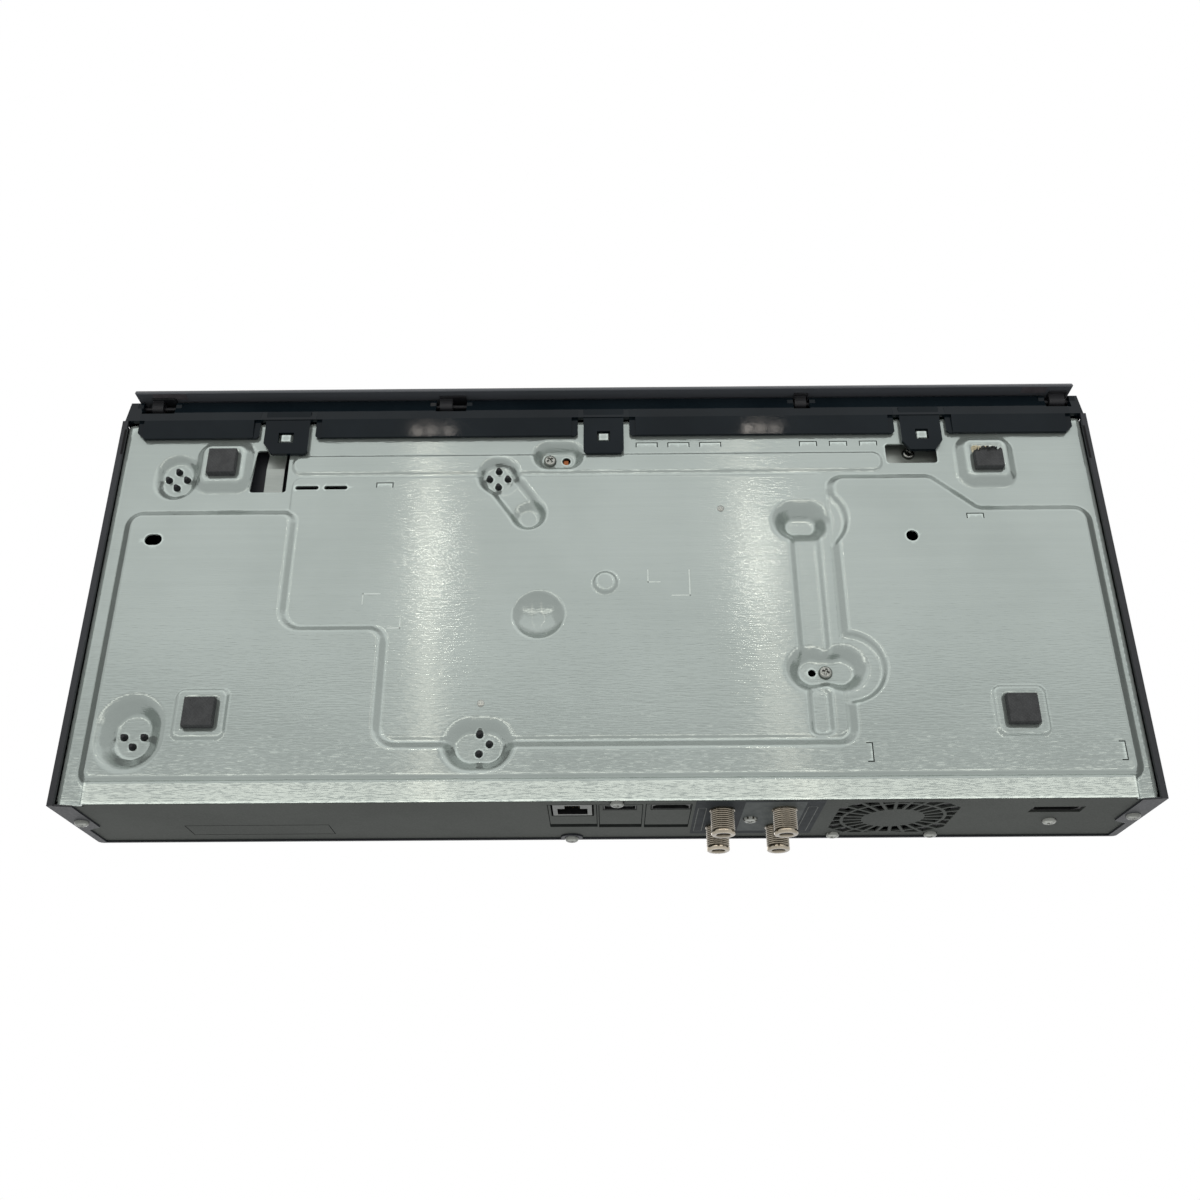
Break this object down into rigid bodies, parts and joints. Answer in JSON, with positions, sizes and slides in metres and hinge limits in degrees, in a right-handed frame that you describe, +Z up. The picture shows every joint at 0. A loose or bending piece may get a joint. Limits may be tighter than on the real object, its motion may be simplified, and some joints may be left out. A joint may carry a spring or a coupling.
{
  "type": "blu-ray recorder",
  "caption": "Slim disc recorder: pressed steel case, gloss front with drop-down flap, sliding disc tray, loader, hard disk, boards, fan and rear sockets",
  "frame": {"origin": "centre of the bounding box in X and Y, at the bottom of the rubber feet", "axes": "+X right seen from the front, +Y to the rear, +Z up"},
  "size_m": [0.43, 0.202, 0.059],
  "materials": {
    "galvanised_steel": "rolled galvanised sheet, satin with horizontal grain",
    "cover_paint": "fine textured charcoal paint on steel",
    "panel_paint": "satin dark grey paint on steel",
    "gloss_black": "moulded gloss black",
    "smoke_acrylic": "smoked clear acrylic, near black",
    "black_moulding": "moulded satin black",
    "rubber_pad": "cross-hatched matt rubber",
    "pin_steel": "ground steel",
    "bracket_steel": "plain zinc coated sheet",
    "drive_plastic": "moulded black glass-filled plastic",
    "tray_plastic": "moulded dark grey plastic",
    "gear_white": "moulded natural white acetal",
    "belt_rubber": "smooth black rubber",
    "motor_can": "drawn nickel plated can",
    "drive_aluminium": "cast and machined aluminium",
    "board_green": "green solder mask on glass epoxy",
    "chip_black": "moulded black epoxy",
    "heat_sink": "extruded aluminium fins",
    "jack_metal": "tin plated shell",
    "connector_nickel": "nickel plated brass",
    "component_mix": "wound and encapsulated parts",
    "inlet_black": "moulded black",
    "fan_plastic": "moulded black",
    "display_glass": "dark display glass",
    "button_black": "gloss black cap",
    "screw_zinc": "zinc plated screws"
  },
  "bodies": {
    "case": {"bottom_plate": "galvanised_steel", "foot_pads": "rubber_pad", "top_cover": "cover_paint", "rear_panel": "panel_paint", "front_fascia": "gloss_black", "hinge_pins": "black_moulding", "drive_frame": "drive_plastic", "drive_supports": "black_moulding", "loading_belt": "belt_rubber", "loading_motor": "motor_can", "clamp_bridge": "bracket_steel", "hard_disk": "drive_aluminium", "disk_bracket": "bracket_steel", "main_board": "board_green", "board_chips": "chip_black", "processor_heat_sink": "heat_sink", "network_jack": "jack_metal", "rear_usb_jack": "jack_metal", "hdmi_jack": "jack_metal", "tuner_unit": "jack_metal", "aerial_connectors": "connector_nickel", "power_board": "board_green", "power_components": "component_mix", "mains_inlet": "inlet_black", "fan_frame": "fan_plastic", "fan_strap": "bracket_steel", "front_board": "board_green", "power_switch_board": "board_green", "display_module": "display_glass", "display_window": "smoke_acrylic", "button_switches": "black_moulding", "io_board": "board_green", "io_bracket": "bracket_steel", "chassis_bracket": "bracket_steel", "front_usb_jack": "jack_metal", "access_card_socket": "jack_metal", "memory_card_socket": "jack_metal", "panel_screws": "screw_zinc", "cover_screws": "screw_zinc", "bottom_screws": "screw_zinc"},
    "flap": {"flap_door": "smoke_acrylic", "flap_arms": "black_moulding"},
    "disc_tray": {"tray": "tray_plastic", "tray_lid": "gloss_black"},
    "tray_pinion": {"tray_gear": "gear_white"},
    "pulley_gear": {"loading_gear": "gear_white"},
    "motor_shaft": {"motor_pulley": "gear_white"},
    "cam": {"lift_cam": "gear_white"},
    "traverse": {"traverse_frame": "drive_plastic", "spindle_motor": "motor_can", "guide_rods": "pin_steel", "sled_motor": "motor_can"},
    "platter": {"turntable": "drive_aluminium"},
    "laser": {"pickup": "drive_aluminium"},
    "screw_shaft": {"lead_screw": "pin_steel"},
    "clamper": {"disc_clamper": "black_moulding"},
    "fan": {"fan_rotor": "fan_plastic"},
    "power_key": {"power_button": "button_black"},
    "eject_key": {"eject_button": "button_black"}
  },
  "joints": [
    {"name": "flap_hinge", "type": "hinge", "parent": "case", "child": "flap", "pos_m": [0, -0.095, 0.0092], "axis": [1, 0, 0], "range_deg": [0, 75]},
    {"name": "tray_slide", "type": "slide", "parent": "case", "child": "disc_tray", "axis": [0, -1, 0], "range_m": [0, 0.128]},
    {"name": "tray_gear_spin", "type": "hinge", "parent": "case", "child": "tray_pinion", "pos_m": [-0.1615, -0.0725, 0.035], "axis": [0, 0, 1], "continuous": true},
    {"name": "loading_gear_spin", "type": "hinge", "parent": "case", "child": "pulley_gear", "pos_m": [-0.1475, -0.0725, 0.03], "axis": [0, 0, 1], "continuous": true},
    {"name": "motor_spin", "type": "hinge", "parent": "case", "child": "motor_shaft", "pos_m": [-0.1225, -0.0725, 0.026], "axis": [0, 0, 1], "continuous": true},
    {"name": "traverse_lift", "type": "hinge", "parent": "case", "child": "traverse", "pos_m": [-0.1175, 0.052, 0.029], "axis": [-1, 0, 0], "range_deg": [0, 4.5]},
    {"name": "cam_slide", "type": "slide", "parent": "case", "child": "cam", "axis": [1, 0, 0], "range_m": [0, 0.0161]},
    {"name": "disc_spin", "type": "hinge", "parent": "traverse", "child": "platter", "pos_m": [-0.1175, -0.025, 0.038], "axis": [0, 0, 1], "continuous": true},
    {"name": "pickup_slide", "type": "slide", "parent": "traverse", "child": "laser", "axis": [0, 1, 0], "range_m": [0, 0.032]},
    {"name": "lead_screw_spin", "type": "hinge", "parent": "traverse", "child": "screw_shaft", "pos_m": [-0.1437, 0.015, 0.029], "axis": [0, 1, 0], "continuous": true},
    {"name": "clamper_spin", "type": "hinge", "parent": "case", "child": "clamper", "pos_m": [-0.1175, -0.025, 0.052], "axis": [0, 0, 1], "continuous": true},
    {"name": "fan_spin", "type": "hinge", "parent": "case", "child": "fan", "pos_m": [0.1154, 0.085, 0.0316], "axis": [0, 1, 0], "continuous": true},
    {"name": "power_press", "type": "slide", "parent": "case", "child": "power_key", "axis": [0, 1, 0], "range_m": [0, 0.001], "stiffness_N_per_m": 300},
    {"name": "eject_press", "type": "slide", "parent": "case", "child": "eject_key", "axis": [0, 1, 0], "range_m": [0, 0.001], "stiffness_N_per_m": 300}
  ],
  "couplings": [
    {"joint": "tray_gear_spin", "follows": "tray_slide", "rad_per_m": 125},
    {"joint": "loading_gear_spin", "follows": "tray_slide", "rad_per_m": -166.67},
    {"joint": "motor_spin", "follows": "tray_slide", "rad_per_m": -377.78},
    {"joint": "cam_slide", "follows": "traverse_lift", "m_per_rad": 0.20372},
    {"joint": "lead_screw_spin", "follows": "pickup_slide", "rad_per_m": 2094.4}
  ]
}
